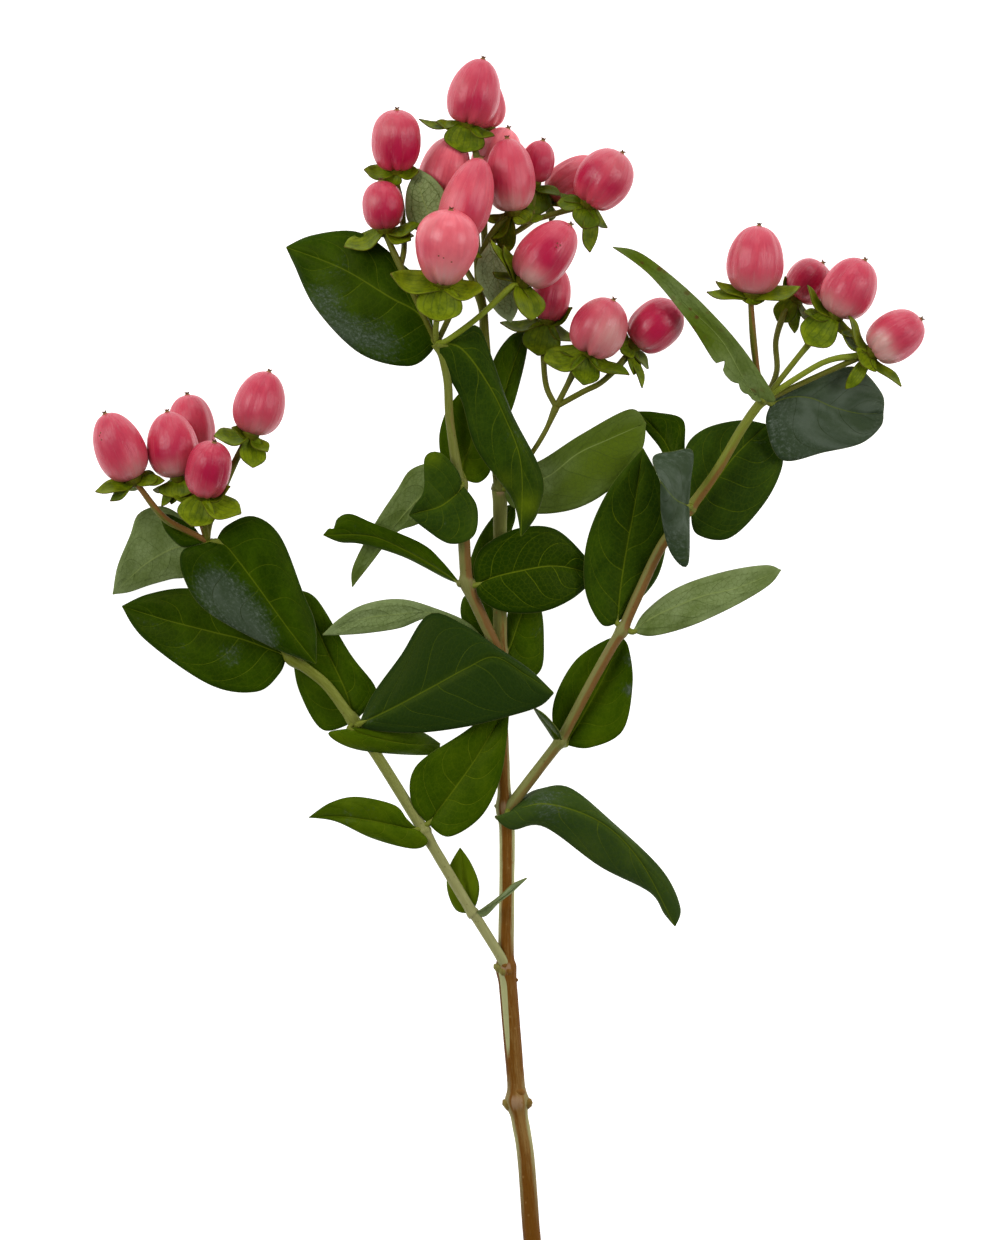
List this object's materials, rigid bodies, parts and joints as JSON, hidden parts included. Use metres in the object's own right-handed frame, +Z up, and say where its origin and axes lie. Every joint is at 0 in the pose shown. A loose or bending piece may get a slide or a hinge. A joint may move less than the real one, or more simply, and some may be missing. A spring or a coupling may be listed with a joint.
{
  "type": "hypericum berry stem",
  "caption": "Cut hypericum stem lying on its back, with branching shoots, clusters of rose-red egg-shaped berries and dark green leaves.",
  "frame": {"origin": "on the surface that the stem lies on, under the middle of its outline seen from above", "axes": "+X to the right across the stem, +Y up the stem from the cut end to the berries, +Z up from the surface it lies on"},
  "size_m": [0.2078, 0.3064, 0.0497],
  "materials": {
    "berry_skin": "satin",
    "leaf": "satin",
    "green_shoot": "satin",
    "woody_stem": "matte"
  },
  "bodies": {
    "root": {"centre_berry_01": "berry_skin", "centre_berry_02": "berry_skin", "centre_berry_03": "berry_skin", "centre_berry_04": "berry_skin", "centre_berry_05": "berry_skin", "centre_berry_06": "berry_skin", "centre_berry_07": "berry_skin", "centre_berry_08": "berry_skin", "centre_berry_09": "berry_skin", "centre_berry_10": "berry_skin", "centre_berry_11": "berry_skin", "centre_berry_12": "berry_skin", "centre_berry_13": "berry_skin", "centre_berry_14": "berry_skin", "centre_berry_15": "berry_skin", "centre_berry_16": "berry_skin", "centre_leaf_01": "leaf", "centre_leaf_02": "leaf", "centre_leaf_03": "leaf", "centre_leaf_04": "leaf", "centre_leaf_05": "leaf", "centre_leaf_06": "leaf", "centre_leaf_07": "leaf", "centre_leaf_08": "leaf", "centre_leaf_09": "leaf", "centre_leaf_10": "leaf", "centre_leaf_11": "leaf", "centre_shoot": "green_shoot", "left_berry_1": "berry_skin", "left_berry_2": "berry_skin", "left_berry_3": "berry_skin", "left_berry_4": "berry_skin", "left_berry_5": "berry_skin", "left_leaf_01": "leaf", "left_leaf_02": "leaf", "left_leaf_03": "leaf", "left_leaf_04": "leaf", "left_leaf_05": "leaf", "left_leaf_06": "leaf", "left_leaf_07": "leaf", "left_leaf_08": "leaf", "left_shoot": "green_shoot", "main_leaf_01": "leaf", "main_leaf_02": "leaf", "main_leaf_03": "leaf", "main_stem": "woody_stem", "right_berry_1": "berry_skin", "right_berry_2": "berry_skin", "right_berry_3": "berry_skin", "right_berry_4": "berry_skin", "right_leaf_01": "leaf", "right_leaf_02": "leaf", "right_leaf_03": "leaf", "right_leaf_04": "leaf", "right_leaf_05": "leaf", "right_leaf_06": "leaf", "right_leaf_07": "leaf", "right_leaf_08": "leaf", "right_shoot": "green_shoot", "top_shoot": "green_shoot"}
  },
  "joints": []
}
